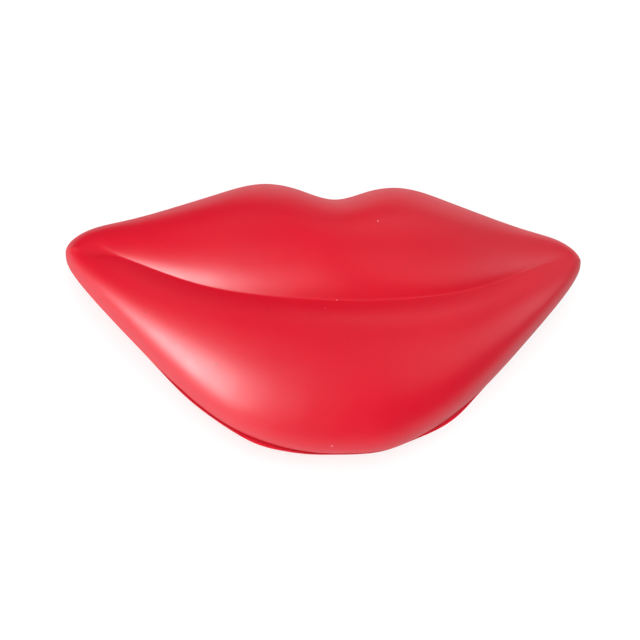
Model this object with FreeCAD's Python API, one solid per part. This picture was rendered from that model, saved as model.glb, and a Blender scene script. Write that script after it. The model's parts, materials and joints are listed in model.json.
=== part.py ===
import FreeCAD, Part
import math, os

# ---------------------------------------------------------------------------
# A one-piece telephone in the shape of a pair of lips, lying on its keypad side.
# Millimetres. +Z up, +X to the right, upper lip towards +Y, lower lip towards -Y.
# Origin: centre of the footprint, on the surface the rubber feet stand on.
# ---------------------------------------------------------------------------
V = FreeCAD.Vector

# ---- outline and lip sections ------------------------------------------------
HALF_W = 107.5            # half width, corner to corner 215
CREASE_HALF_W = 97.5     # half width of the line where the lips meet
KNOT_F = [0, .12, .25, .4, .55, .7, .85, 1.0]
FRONT = [81.566, 79.133, 70.763, 53.22, 34.192, 18.775, 7.713, 0.0]
KNOT_B = [0, .09, .18, .28, .4, .55, .7, .85, 1.0]
BACK = [23.732, 28.403, 30.461, 25.831, 19.242, 13.267, 9.897, 5.339, 0.0]
KNOT_C = [0, .309, .588, .809, .951, 1.0]   # shares of the crease's half width
CREASE_Y = [-26.043, -24.38, -18.591, -9.394, -3.757, -2.54]
Z_PART = 16.0             # parting plane between the two shells
TAPER = 2.33              # how the lips get lower towards the corners
CREASE_Z = (13.2, 19.2, 24.0)   # crease above the parting plane: corner, between, middle
# shares of the way from the outline to the crease, and heights above the parting plane
RIB = [(0, 0), (0, 6.0), (.06, 10.2), (.30, 12.2), (.72, 13.2)]
LOWER_MID = [(0, 0), (0, 27.56), (0, 22.08), (.789, 22.48), (.736, 21.54)]
LOWER_LIP = [(0, 0), (0, 4.24), (.008, 19.51), (.782, 33.72), (.82, 26.84)]
UPPER_MID = [(0, 0), (0, 14.75), (.035, 14.4), (.18, 17.25), (.72, 19.6)]
UPPER_LIP = [(0, 0), (0, 6.5), (.07, 31.0), (.22, 36.5), (.72, 38.8)]
WALL = 2.4                # nominal wall of both shells
STATIONS = 33             # sections along the length

# ---- lower shell --------------------------------------------------------------
Z_BOTTOM = 2.0            # flat underside
Z_FLOOR = Z_BOTTOM + WALL # inside of the floor
PARTING_STEP = 0.5        # lower shell is this much smaller than the upper one
# and fuller than that under the lower lip, at stations from s = -0.5 to 0.5
RIM_SWELL = [0, .6, 1.3, 1.2, 1.3, 1.95, 1.5, .95, .45, .4, .35, .5, 1.55, 2.2, 1.0, .35, 0]
GAP_Z, GAP_D = 0.9, 1.4   # height and depth of the shadow gap round the parting plane
UNDERCUT = 13.0           # the underside's outline is this much shorter at each end

# ---- feet, screws --------------------------------------------------------------
FOOT_R, FOOT_RECESS = 5.0, 0.6
FEET = [(41, -24), (-41, -24), (75, 25), (-75, 25)]
CASE_SCREWS = [(0, -37.5), (52, 35), (-52, 35), (88, 22), (-88, 22)]
SCREW_R, SCREW_HEAD_R = 1.45, 2.9
POST_HOLE_R = 1.5

# ---- keypad ---------------------------------------------------------------------
KEYPAD = (3.0, 8.0)
KEY_X, KEY_Y = 10.0, 13.0
ROW_X = [-28.0, -14.0, 0.0, 14.0, 28.0]
COL_Y = [17.0, 0.0, -17.0]
KEY_TRAVEL = 1.2
KEY_FACE_Z = 2.6
WIN_X, WIN_Y = 70.0, 51.0
BEZEL_X, BEZEL_Y = 76.0, 57.0
Z_MAT, Z_BOARD, BOARD_T = 9.4, 10.4, 1.6
BOARD = (-42.0, 48.0, -33.0, 36.5)
BOARD_POSTS = [(-38.6, 32.0), (44.6, 32.0), (-38.6, -26.0), (44.6, -26.0)]

# ---- receiver, microphone, hook, switches, jack -----------------------------------
EAR = (-61.0, 12.0)
EAR_R = 17.0
CLAMP_EARS = [158.0, 312.0]
MIC = (76.0, 14.0)
HOOK = (57.0, 10.0)
HOOK_R, HOOK_TRAVEL = 4.85, 3.5
HOOK_POSTS = [(57.0, -0.5), (57.0, 20.5)]
RINGER_SW, RINGER_TRAVEL = (-22.0, -29.0), 4.0
TONE_SW, TONE_TRAVEL = (26.0, -29.0), 3.0
JACK_X, JACK_Y0, JACK_Y1 = 30.0, 37.5, 50.5
JACK_W, JACK_Z1 = 13.0, 15.8
BALLAST = (-36.0, 36.0, -2.0, 22.0, 30.0, 34.0)
BALLAST_SCREWS = [(28.0, 10.0), (-28.0, 10.0)]

os.makedirs("parts", exist_ok=True)


# ---- curves ------------------------------------------------------------------------
def spline(k, v):
    # cubic spline with a level start and a straight end
    n = len(k)
    h = [k[i + 1] - k[i] for i in range(n - 1)]
    a, b, c, d = [0.0] * n, [0.0] * n, [0.0] * n, [0.0] * n
    b[0], c[0], d[0] = 2 * h[0], h[0], 6 * (v[1] - v[0]) / h[0]
    for i in range(1, n - 1):
        a[i], b[i], c[i] = h[i - 1], 2 * (h[i - 1] + h[i]), h[i]
        d[i] = 6 * ((v[i + 1] - v[i]) / h[i] - (v[i] - v[i - 1]) / h[i - 1])
    b[n - 1] = 1.0
    for i in range(1, n):
        w = a[i] / b[i - 1]
        b[i] -= w * c[i - 1]
        d[i] -= w * d[i - 1]
    m = [0.0] * n
    m[n - 1] = d[n - 1] / b[n - 1]
    for i in range(n - 2, -1, -1):
        m[i] = (d[i] - c[i] * m[i + 1]) / b[i]

    def f(x):
        i = 0
        while i < n - 2 and x > k[i + 1]:
            i += 1
        t, u, q = x - k[i], k[i + 1] - x, h[i]
        return ((m[i] * u ** 3 + m[i + 1] * t ** 3) / (6 * q)
                + (v[i] / q - m[i] * q / 6) * u + (v[i + 1] / q - m[i + 1] * q / 6) * t)
    return f


front_of, back_of, crease_of = spline(KNOT_F, FRONT), spline(KNOT_B, BACK), spline(KNOT_C, CREASE_Y)
Y_CORNER = (FRONT[0] - max(back_of(i / 1000) for i in range(400))) / 2


def rim_swell(s):
    k = (s + 0.5) * 16
    if k <= 0 or k >= 16:
        return 0.0
    i = int(k)
    return RIM_SWELL[i] + (RIM_SWELL[i + 1] - RIM_SWELL[i]) * (k - i)


def outline(s, side, half, kf, kb, swell=0.0):
    a = abs(s)
    y = Y_CORNER + kb * back_of(a)
    if side < 0:
        # the lower lip is a little fuller just to the right of its middle
        y = Y_CORNER - kf * front_of(a) - math.exp(-((s - 0.12) / 0.07) ** 2) - swell * rim_swell(s)
    return half * math.sin(math.pi * s / 2), y


def lip_section(s, side, half, kf, kb, crease_half, zk, drop, rib_k):
    # six control points from the parting plane up to the crease
    sn = math.sin(math.pi * s / 2)
    w = 1 - abs(sn) ** TAPER
    b0, b1, b2 = (1 - w) ** 2, 2 * w * (1 - w), w * w
    ox, oy = outline(s, side, half, kf, kb)
    f = sn + 0.5 * (s - sn) * s ** 6
    cx, cy = crease_half * f, Y_CORNER + crease_of(abs(f))
    zc = CREASE_Z[0] * rib_k * b0 + (CREASE_Z[1] * b1 + CREASE_Z[2] * b2) * zk - drop * w
    m, q = (LOWER_MID, LOWER_LIP) if side < 0 else (UPPER_MID, UPPER_LIP)
    out = []
    for i in range(5):
        h = RIB[i][0] * b0 + m[i][0] * b1 + q[i][0] * b2
        z = RIB[i][1] * rib_k * b0 + (m[i][1] * b1 + q[i][1] * b2) * zk
        out.append((ox + (cx - ox) * h, oy + (cy - oy) * h, Z_PART + z))
    out.append((cx, cy, Z_PART + zc))
    return out


def tray_section(s, side, top, bottom, z0, z1, r0, r1):
    # four control points from the rim down and inwards to the flat underside
    tx, ty = outline(s, side, *top)
    bx, by = outline(s, side, *bottom)
    k = r1
    return [(tx, ty, z0), (tx, ty, z0 - (z0 - z1) * r0),
            (bx + (tx - bx) * k, by + (ty - by) * k, z1), (bx, by, z1)]


def surface(rows):
    # rows of control points along the length, each row one exact section curve
    n, m = len(rows), len(rows[0])
    par = [i / (n - 1) for i in range(n)]
    cols = []
    for j in range(m):
        c = Part.BSplineCurve()
        c.interpolate(Points=[V(*rows[i][j]) for i in range(n)], Parameters=par)
        cols.append(c)
    poles = [[cols[j].getPoles()[i] for j in range(m)] for i in range(len(cols[0].getPoles()))]
    s = Part.BSplineSurface()
    s.buildFromPolesMultsKnots(poles, cols[0].getMultiplicities(), [m, m],
                               cols[0].getKnots(), [0.0, 1.0], False, False, 3, m - 1)
    return s


SS = [-1 + 2 * i / (STATIONS - 1) for i in range(STATIONS)]


def edge_of(s, v):
    return s.vIso(v).toShape()


def solid_of(faces):
    sh = Part.Shell(faces)
    sh.sewShape()
    if sh.ShapeType != "Shell":
        sh = sh.Shells[0]
    so = Part.Solid(sh)
    if so.Volume < 0:
        so.reverse()
    return so


def lips(half, kf, kb, crease_half, zk, drop, rib_k):
    return [surface([lip_section(s, side, half, kf, kb, crease_half, zk, drop, rib_k) for s in SS])
            for side in (-1, 1)]


def tray(top, bottom, z0, z1, r0, r1):
    return [surface([tray_section(s, side, top, bottom, z0, z1, r0, r1) for s in SS]) for side in (-1, 1)]


def loop(pair, v):
    return Part.Wire(Part.__sortEdges__([edge_of(p, v) for p in pair]))


# ---- small shapes --------------------------------------------------------------------
def cyl(r, z0, z1, x=0.0, y=0.0):
    return Part.makeCylinder(r, z1 - z0, V(x, y, z0))


def ring(r0, r1, z0, z1, x=0.0, y=0.0):
    return cyl(r1, z0, z1, x, y).cut(cyl(r0, z0 - 1, z1 + 1, x, y))


def box(x0, x1, y0, y1, z0, z1):
    return Part.makeBox(x1 - x0, y1 - y0, z1 - z0, V(x0, y0, z0))


def rbox(x0, x1, y0, y1, z0, z1, r):
    e, p = [], []
    cs = [(x1 - r, y1 - r, 0), (x0 + r, y1 - r, 90), (x0 + r, y0 + r, 180), (x1 - r, y0 + r, 270)]
    for cx, cy, a in cs:
        pts = [V(cx + r * math.cos(math.radians(a + t)), cy + r * math.sin(math.radians(a + t)), z0) for t in (0, 45, 90)]
        p.append(pts)
    for i in range(4):
        e.append(Part.Arc(*p[i]).toShape())
        e.append(Part.LineSegment(p[i][2], p[(i + 1) % 4][0]).toShape())
    return Part.Face(Part.Wire(e)).extrude(V(0, 0, z1 - z0))


def centred(cx, cy, wx, wy, z0, z1, r):
    return rbox(cx - wx / 2, cx + wx / 2, cy - wy / 2, cy + wy / 2, z0, z1, r)


def turned(points, x, y):
    # closed profile of (radius, z), turned about a vertical axis
    w = Part.makePolygon([V(r, 0, z) for r, z in points] + [V(points[0][0], 0, points[0][1])])
    s = Part.Face(w).revolve(V(0, 0, 0), V(0, 0, 1), 360)
    s.translate(V(x, y, 0))
    return s


def fused(shapes):
    s = shapes[0]
    return s.multiFuse(shapes[1:]).removeSplitter() if len(shapes) > 1 else s


def low_edges(shape, z, tol=1e-4):
    return [e for e in shape.Edges if abs(e.BoundBox.ZMin - z) < tol and abs(e.BoundBox.ZMax - z) < tol]


def lead(points, r, bend):
    # round wire along straight runs joined by tangent arcs
    pts = [V(*p) for p in points]
    edges, last = [], pts[0]
    for i in range(1, len(pts) - 1):
        a, b = (pts[i - 1] - pts[i]), (pts[i + 1] - pts[i])
        a.normalize()
        b.normalize()
        half = math.acos(max(-1, min(1, a.dot(b)))) / 2
        d = bend / math.tan(half)
        p0, p1 = pts[i] + a * d, pts[i] + b * d
        m = a + b
        m.normalize()
        c = pts[i] + m * (bend / math.sin(half))
        edges.append(Part.LineSegment(last, p0).toShape())
        edges.append(Part.Arc(p0, c - m * bend, p1).toShape())
        last = p1
    edges.append(Part.LineSegment(last, pts[-1]).toShape())
    path = Part.Wire(edges)
    d0 = pts[1] - pts[0]
    d0.normalize()
    prof = Part.Wire([Part.makeCircle(r, pts[0], d0)])
    s = path.makePipeShell([prof], True, False)
    if s.ShapeType != "Solid":
        s = s.Solids[0]
    want = math.pi * r * r * path.Length
    print("lead length %.1f mm, volume %.2f of %.2f, bend %.1f" % (path.Length, s.Volume, want, bend))
    return s


def screw(x, y, z_seat, length, up=True, r=SCREW_R, hr=SCREW_HEAD_R, hh=2.1):
    # pan head, cross recess, plain shank with a pointed end
    s = 1 if up else -1
    head = [(0, -hh), (hr * 0.55, -hh), (hr * 0.9, -hh * 0.7), (hr, -hh * 0.3), (hr, 0),
            (r, 0), (r, length - r), (0.3, length), (0, length)]
    b = turned([(a, z_seat + s * z) for a, z in head], x, y)
    zc = z_seat - s * hh
    for w, l in ((0.7, hr * 1.1), (hr * 1.1, 0.7)):
        z0, z1 = sorted((zc - s * 0.1, zc + s * 1.1))
        b = b.cut(box(x - w / 2, x + w / 2, y - l / 2, y + l / 2, z0, z1))
    return b


made = {}


def keep(name, shape):
    made[name] = shape


# ---- upper shell: the lips ---------------------------------------------------------------
outer = lips(HALF_W, 1.0, 1.0, CREASE_HALF_W, 1.0, 0.0, 1.0)
inner = lips(HALF_W - WALL, 1 - WALL / FRONT[0], 1 - 2.6 / BACK[2], CREASE_HALF_W * (1 - WALL / HALF_W), 0.934, 0.9, 0.80)
mid = lips(HALF_W - WALL / 2, 1 - WALL / 2 / FRONT[0], 1 - 1.3 / BACK[2], CREASE_HALF_W * (1 - WALL / 2 / HALF_W), 0.967, 0.45, 0.90)
rim = Part.Face([loop(outer, 0.0), loop(inner, 0.0)])
if rim.Area > 3000 or not rim.isValid():
    rim = Part.Face(loop(outer, 0.0)).cut(Part.Face(loop(inner, 0.0))).Faces[0]
upper = solid_of([p.toShape() for p in outer + inner] + [rim])
midway = solid_of([p.toShape() for p in mid] + [Part.Face(loop(mid, 0.0))])
print("upper shell", upper.isValid(), round(upper.Volume), "rim", round(rim.Area), "midway", midway.isValid(), round(midway.Volume))
posts = []
for x, y in CASE_SCREWS:
    posts.append(cyl(3.5, Z_PART + 0.1, 70, x, y))
for x, y in BALLAST_SCREWS:
    posts.append(cyl(3.8, BALLAST[5], 70, x, y))
for p in posts:
    upper = upper.fuse(p.common(midway))
for x, y in CASE_SCREWS:
    upper = upper.cut(cyl(POST_HOLE_R, Z_PART - 1, 28.0, x, y))
for x, y in BALLAST_SCREWS:
    upper = upper.cut(cyl(POST_HOLE_R, BALLAST[5] - 1, 42.5, x, y))
keep("upper_shell", upper)

# ---- lower shell: tray with the underside --------------------------------------------------
t_out = (HALF_W - PARTING_STEP, 0.994, 0.984, 1.0)
b_out = (HALF_W - UNDERCUT, 0.87, 0.72)
t_in = (HALF_W - 3.1, 0.963, 0.885)
b_in = (HALF_W - UNDERCUT - 2.2, 0.848, 0.66)
o = tray(t_out, b_out, Z_PART, Z_BOTTOM, 0.5, 0.55)
i_ = tray(t_in, b_in, Z_PART, Z_FLOOR, 0.5, 0.55)
rim2 = Part.Face([loop(o, 0.0), loop(i_, 0.0)])
if rim2.Area > 3000 or not rim2.isValid():
    rim2 = Part.Face(loop(o, 0.0)).cut(Part.Face(loop(i_, 0.0))).Faces[0]
lower = solid_of([p.toShape() for p in o + i_] + [rim2, Part.Face(loop(o, 1.0)), Part.Face(loop(i_, 1.0))])
print("lower shell", lower.isValid(), round(lower.Volume), "rim", round(rim2.Area))
t_gap = (HALF_W - PARTING_STEP - GAP_D, 0.994 - GAP_D / FRONT[0], 0.984 - GAP_D / BACK[2])
g = tray(t_gap, t_gap, Z_PART + 1, Z_PART - GAP_Z, 0.4, 0.4)
core = solid_of([p.toShape() for p in g] + [Part.Face(loop(g, 0.0)), Part.Face(loop(g, 1.0))])
lower = lower.cut(box(-130, 130, -80, 80, Z_PART - GAP_Z, Z_PART + 1).cut(core))
print("with its gap", lower.isValid(), round(lower.Volume))
add = []
z_in = Z_BOTTOM + 1.2
for x, y in CASE_SCREWS:
    add += [cyl(3.8, z_in, Z_PART - 0.1, x, y), cyl(4.7, z_in, 7.0, x, y)]
for x, y in BOARD_POSTS:
    add.append(cyl(3.0, z_in, Z_BOARD, x, y))
for x, y in HOOK_POSTS:
    add.append(cyl(2.8, z_in, 16.6, x, y))
ears = [(EAR[0] + 20.4 * math.cos(math.radians(a)), EAR[1] + 20.4 * math.sin(math.radians(a))) for a in CLAMP_EARS]
for x, y in ears:
    add.append(cyl(2.8, z_in, 7.9, x, y))
add.append(ring(17.3, 18.5, z_in, 6.6, *EAR))
add.append(ring(6.8, 8.0, z_in, 8.0, *MIC))
outer_tray = solid_of([p.toShape() for p in o] + [Part.Face(loop(o, 0.0)), Part.Face(loop(o, 1.0))])
for a in add:
    lower = lower.fuse(a)
kx, ky = KEYPAD
cut = [centred(kx, ky, WIN_X, WIN_Y, 0, 6, 4.0)]
for x, y in CASE_SCREWS:
    cut += [cyl(1.7, 0, 20, x, y), cyl(3.2, 0, 5.0, x, y)]
for x, y in BOARD_POSTS:
    cut.append(cyl(1.1, 5.4, 12, x, y))
for x, y in HOOK_POSTS:
    cut.append(cyl(1.1, 8.0, 18, x, y))
for x, y in ears:
    cut.append(cyl(1.1, 3.6, 9, x, y))
for n, rr in ((1, 0.0), (6, 4.4), (12, 8.8)):
    for k in range(n):
        a = 2 * math.pi * (k + 0.25 * (n == 12)) / n
        cut.append(cyl(1.1, 0, 6, EAR[0] + rr * math.cos(a), EAR[1] + rr * math.sin(a)))
for k in range(3):
    a = 2 * math.pi * k / 3 + math.pi / 2
    cut.append(cyl(0.9, 0, 6, MIC[0] + 2.2 * math.cos(a), MIC[1] + 2.2 * math.sin(a)))
cut.append(cyl(HOOK_R + 0.35, 0, 6, *HOOK))
for (x, y), tr in ((RINGER_SW, RINGER_TRAVEL), (TONE_SW, TONE_TRAVEL)):
    cut.append(centred(x, y, 3.2 + tr + 1.0, 3.8, 0, 6, 1.0))
    cut.append(centred(x, y, 15.0, 7.4, 0, Z_BOTTOM + 0.8, 2.0))
for k in range(5):
    cut.append(centred(2.0 + 3.2 * (k - 2), -27.0, 1.6, 9.0, 0, 6, 0.7))
for x, y in FEET:
    cut.append(cyl(FOOT_R + 0.2, 0, Z_BOTTOM + FOOT_RECESS, x, y))
jw = JACK_W / 2
# the recess for the jack steps back at its lower right corner, where the wall curves in
recess = box(JACK_X - jw - 0.2, JACK_X + jw + 0.2, JACK_Y0 - 0.5, JACK_Y1 + 0.2, Z_FLOOR, Z_PART + 1)
recess = recess.cut(box(JACK_X + 3.5, JACK_X + jw + 1, 49.0, JACK_Y1 + 1, Z_FLOOR - 1, 5.0))
recess = recess.cut(box(JACK_X + 5.75, JACK_X + jw + 1, 49.0, JACK_Y1 + 1, Z_FLOOR - 1, 6.4))
cut.append(recess)
cut.append(rbox(JACK_X - 5.8, JACK_X + 5.8, 5.0, 14.9, 0, 20, 1.0))
ap = cut[-1]
ap.rotate(V(0, 0, 0), V(1, 0, 0), 90)
ap.translate(V(0, 65, 0))
for c in cut:
    lower = lower.cut(c)
print("lower shell with openings", lower.isValid(), round(lower.Volume), len(lower.Solids))
keep("lower_shell", lower)

# ---- keypad ---------------------------------------------------------------------------------
bez = centred(kx, ky, BEZEL_X, BEZEL_Y, Z_FLOOR, Z_MAT, 5.0)
bez = bez.cut(centred(kx, ky, BEZEL_X - 4, BEZEL_Y - 4, Z_FLOOR + 1.5, Z_MAT + 1, 3.0))
keys = []
names = [["key_1", "key_2", "key_3"], ["key_4", "key_5", "key_6"], ["key_7", "key_8", "key_9"], ["key_star", "key_0", "key_hash"]]
for r in range(4):
    for c in range(3):
        keys.append((names[r][c], kx + ROW_X[r], ky + COL_Y[c], KEY_X, KEY_Y))
keys.append(("key_redial", kx + ROW_X[4], ky + 12.5, KEY_X, 22.0))
keys.append(("key_flash", kx + ROW_X[4], ky - 12.5, KEY_X, 22.0))
domes = []
for name, x, y, wx, wy in keys:
    bez = bez.cut(centred(x, y, wx + 0.7, wy + 0.7, 3, 7, 2.3))
    cap = centred(x, y, wx, wy, KEY_FACE_Z, 6.4, 2.0)
    cap = cap.makeFillet(0.8, low_edges(cap, KEY_FACE_Z))
    flange = centred(x, y, wx + 1.6, wy + 1.6, 6.2, 7.2, 2.6)
    keep(name, fused([cap, flange]))
    domes.append(turned([(0, 7.2), (2.6, 7.2), (2.8, 7.6), (4.3, 9.5), (3.3, 9.5), (1.7, 8.2), (0, 8.2)], x, y))
keep("keypad_bezel", bez)
mat = centred(kx, ky, BEZEL_X, BEZEL_Y, Z_MAT, Z_BOARD, 5.0)
for name, x, y, wx, wy in keys:
    mat = mat.cut(cyl(3.4, Z_MAT - 1, Z_BOARD + 1, x, y))
mat = mat.multiFuse(domes)
keep("keypad_mat", mat)

# ---- main board and what is on it ---------------------------------------------------------------
zb = Z_BOARD + BOARD_T
board = rbox(*BOARD, Z_BOARD, zb, 2.0)
for x, y in BOARD_POSTS:
    board = board.cut(cyl(1.5, Z_BOARD - 1, zb + 1, x, y))
keep("main_board", board)
keep("board_screws", Part.makeCompound([screw(x, y, zb, 6.2, False, 1.05, 2.4, 1.6) for x, y in BOARD_POSTS]))


def chip(x, y, pins, w=6.4):
    n = pins // 2
    l = n * 2.54
    b = rbox(x - l / 2, x + l / 2, y - w / 2, y + w / 2, zb + 0.6, zb + 4.1, 0.4)
    b = b.cut(cyl(0.9, zb + 3.5, zb + 5, x - l / 2, y))
    legs = []
    for k in range(n):
        px = x - l / 2 + 1.27 + 2.54 * k
        for sd in (-1, 1):
            y0, y1 = sorted((y + sd * (w / 2 - 0.3), y + sd * (w / 2 + 0.7)))
            legs.append(box(px - 0.7, px + 0.7, y0, y1, zb + 1.9, zb + 2.2))
            y2, y3 = sorted((y + sd * (w / 2 + 0.4), y + sd * (w / 2 + 0.7)))
            legs.append(box(px - 0.35, px + 0.35, y2, y3, zb, zb + 2.1))
    return b.multiFuse(legs)


keep("dialler_chip", chip(14.0, 20.0, 18))
keep("speech_chip", chip(18.0, 0.0, 14))
keep("capacitors", Part.makeCompound([
    turned([(0, zb), (r * 0.86, zb), (r, zb + 0.6), (r, zb + 1.6), (r - 0.25, zb + 1.9), (r, zb + 2.2), (r, zb + h - 0.5),
            (r - 0.5, zb + h), (0, zb + h)], x, y)
    for x, y, r, h in ((-8, -18, 4.0, 11.0), (2, -18, 3.2, 11.0), (36, 18, 4.0, 12.0), (36, 6, 2.5, 9.0), (-32, -6, 3.2, 11.0))]))


def axial(x, y, l, r, along_x):
    b = turned([(0, -l / 2), (r * 0.9, -l / 2), (r, -l / 2 + 0.4), (r, -l / 4), (r * 0.85, -l / 5), (r * 0.85, l / 5), (r, l / 4),
                (r, l / 2 - 0.4), (r * 0.9, l / 2), (0, l / 2)], 0, 0)
    b.rotate(V(0, 0, 0), V(0, 1, 0), 90)
    b.translate(V(0, 0, zb + r + 0.3))
    p = l / 2 + 2.0
    w = lead([(-p, 0, zb), (-p, 0, zb + r + 0.3), (p, 0, zb + r + 0.3), (p, 0, zb)], 0.3, 0.8)
    b = b.fuse(w)
    if not along_x:
        b.rotate(V(0, 0, 0), V(0, 0, 1), 90)
    b.translate(V(x, y, 0))
    return b


keep("resistors", Part.makeCompound([axial(x, y, 6.2, 1.15, d) for x, y, d in
     ((-2, 8.5, True), (-2, 4.5, True), (-2, 0.5, True), (-2, -3.5, True), (18, -10.5, True), (18, -14.5, True), (33, -4, False), (38, -4, False))]))
keep("diodes", Part.makeCompound([axial(x, y, 4.6, 1.0, True) for x, y in ((28, 31), (28, 27.6), (14, 31), (14, 27.6))]))


def to92(x, y):
    b = cyl(2.4, zb + 2.0, zb + 6.6, x, y).cut(box(x - 4, x + 4, y - 4, y - 1.3, zb, zb + 9))
    legs = [box(x + k * 1.27 - 0.22, x + k * 1.27 + 0.22, y - 0.22, y + 0.22, zb, zb + 2.4) for k in (-1, 0, 1)]
    return b.multiFuse(legs)


keep("transistors", Part.makeCompound([to92(x, y) for x, y in ((-16, -6), (-24, -6), (30, -16))]))
keep("crystal", fused([centred(6.0, 12.0, 10.6, 4.2, zb + 0.5, zb + 9.0, 2.0), centred(6.0, 12.0, 11.4, 5.0, zb + 0.5, zb + 1.1, 2.4),
                       cyl(0.25, zb, zb + 1, 3.6, 12.0), cyl(0.25, zb, zb + 1, 8.4, 12.0)]))

# ---- ringer -------------------------------------------------------------------------------------
rx, ry = -22.0, 16.0
keep("ringer_housing", turned([(0, zb), (11, zb), (11, zb + 7.6), (10.6, zb + 8), (2.0, zb + 8), (2.0, zb + 7), (10, zb + 7),
                               (10, zb + 2.4), (8.6, zb + 2.4), (8.6, zb + 1.0), (0, zb + 1.0)], rx, ry))
keep("ringer_disc", fused([cyl(9.9, zb + 2.4, zb + 2.7, rx, ry), cyl(7.0, zb + 2.7, zb + 2.95, rx, ry)]))


# ---- slide switches --------------------------------------------------------------------------------
def slide_switch(name, pos, tr):
    x, y = pos
    b = box(x - 6.5, x + 6.5, y - 3.3, y + 3.3, 5.2, Z_BOARD)
    b = b.cut(box(x - 5.7, x + 5.7, y - 2.5, y + 2.5, 6.0, 9.6))
    b = b.cut(box(x - (3.2 + tr + 0.8) / 2, x + (3.2 + tr + 0.8) / 2, y - 1.8, y + 1.8, 5, 6.2))
    keep(name + "_body", b)
    xr = x - tr / 2
    k = fused([box(xr - 2.6, xr + 2.6, y - 2.1, y + 2.1, 6.4, 9.2), centred(xr, y, 3.2, 2.8, 1.5, 6.6, 0.5)])
    for g in (-0.8, 0.0, 0.8):
        k = k.cut(box(xr + g - 0.18, xr + g + 0.18, y - 2, y + 2, 1.4, 1.8))
    keep(name + "_knob", k)


slide_switch("ringer_switch", RINGER_SW, RINGER_TRAVEL)
slide_switch("tone_switch", TONE_SW, TONE_TRAVEL)

# ---- hook plunger, its spring and its switch --------------------------------------------------------
hx, hy = HOOK
keep("hook_plunger", turned([(0, 0.2), (HOOK_R - 1.0, 0.2), (HOOK_R - 0.3, 0.5), (HOOK_R, 1.2), (HOOK_R, 8.6), (6.6, 8.6), (6.6, 9.8),
                             (2.2, 9.8), (2.2, 21.6), (1.8, 22.0), (0, 22.0)], hx, hy))
sw = fused([box(hx - 4.5, hx + 4.5, hy - 7, hy + 7, 16.6, 26.0), centred(hx, hy, 6.4, 28.0, 16.6, 18.6, 3.0)])
sw = sw.cut(cyl(2.6, 16, 25, hx, hy))
for x, y in HOOK_POSTS:
    sw = sw.cut(cyl(1.3, 16, 19, x, y))
keep("hook_switch", sw)
keep("hook_switch_screws", Part.makeCompound([screw(x, y, 18.6, 9.0, False, 1.05, 2.2, 1.6) for x, y in HOOK_POSTS]))


def coil(x, y, z0, z1, rad, wire, turns):
    # wire of half turns, each one tipped so that its ends meet its neighbours
    n, parts_ = int(turns * 2), []
    rise = (z1 - z0 - 2 * wire) / n
    tip = math.degrees(math.atan2(rise, 2 * rad))
    r2 = math.hypot(rad, rise / 2)
    for k in range(n):
        f = Part.Face(Part.Wire([Part.makeCircle(wire, V(r2, 0, 0), V(0, 1, 0))]))
        h = f.revolve(V(0, 0, 0), V(0, 0, 1), 180)
        # its ends are now on the X axis at +r2 and -r2, and the second one must be higher
        h.rotate(V(0, 0, 0), V(0, 1, 0), tip)
        if k % 2:
            h.rotate(V(0, 0, 0), V(0, 0, 1), 180)
        h.translate(V(x, y, z0 + wire + rise * (k + 0.5)))
        parts_.append(h)
    return parts_[0].multiFuse(parts_[1:])


spring = coil(hx, hy, 9.85, 16.55, 3.5, 0.35, 4)
print("spring", spring.isValid(), len(spring.Solids), round(spring.Volume, 2))
keep("hook_spring", spring)

# ---- receiver ------------------------------------------------------------------------------------------
ex, ey = EAR
keep("receiver_gasket", ring(13.2, EAR_R, Z_FLOOR, 5.9, ex, ey))
keep("receiver_frame", turned([(15.2, 5.9), (EAR_R, 5.9), (EAR_R, 7.9), (15.4, 7.9), (11.2, 12.4), (11.2, 13.5), (0, 13.5), (0, 12.5),
                               (10.2, 12.4), (14.2, 7.4), (15.2, 7.4)], ex, ey))
keep("receiver_cone", turned([(15.1, 6.5), (15.1, 6.9), (13.4, 7.2), (5.2, 10.2), (5.2, 12.0), (4.8, 12.0), (4.8, 9.4), (3.0, 8.5), (0, 8.1), (0, 7.7),
                              (3.2, 8.1), (5.0, 8.9), (13.2, 6.8)], ex, ey))
keep("receiver_magnet", fused([cyl(9.0, 13.5, 18.3, ex, ey), cyl(8.0, 18.3, 19.5, ex, ey)]))
clamp = [ring(15.9, 18.0, 7.9, 9.4, ex, ey)]
for a, (x, y) in zip(CLAMP_EARS, ears):
    bar = box(16.6, 20.4, -2.8, 2.8, 7.9, 9.4)
    bar.rotate(V(0, 0, 0), V(0, 0, 1), a)
    bar.translate(V(ex, ey, 0))
    clamp += [bar, cyl(2.8, 7.9, 9.4, x, y)]
clamp = fused(clamp)
for x, y in ears:
    clamp = clamp.cut(cyl(1.3, 7, 10, x, y))
keep("receiver_clamp", clamp)
keep("receiver_screws", Part.makeCompound([screw(x, y, 9.4, 5.4, False, 1.05, 2.2, 1.6) for x, y in ears]))

# ---- microphone ------------------------------------------------------------------------------------------
mx, my = MIC
keep("mic_boot", turned([(3.4, Z_FLOOR), (6.6, Z_FLOOR), (6.6, 11.0), (6.2, 11.4), (4.95, 11.4), (4.95, 5.4), (3.4, 5.4)], mx, my))
keep("mic_capsule", turned([(0, 5.45), (4.6, 5.45), (4.85, 5.7), (4.85, 11.6), (4.5, 11.9), (0, 11.9)], mx, my))

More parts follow.
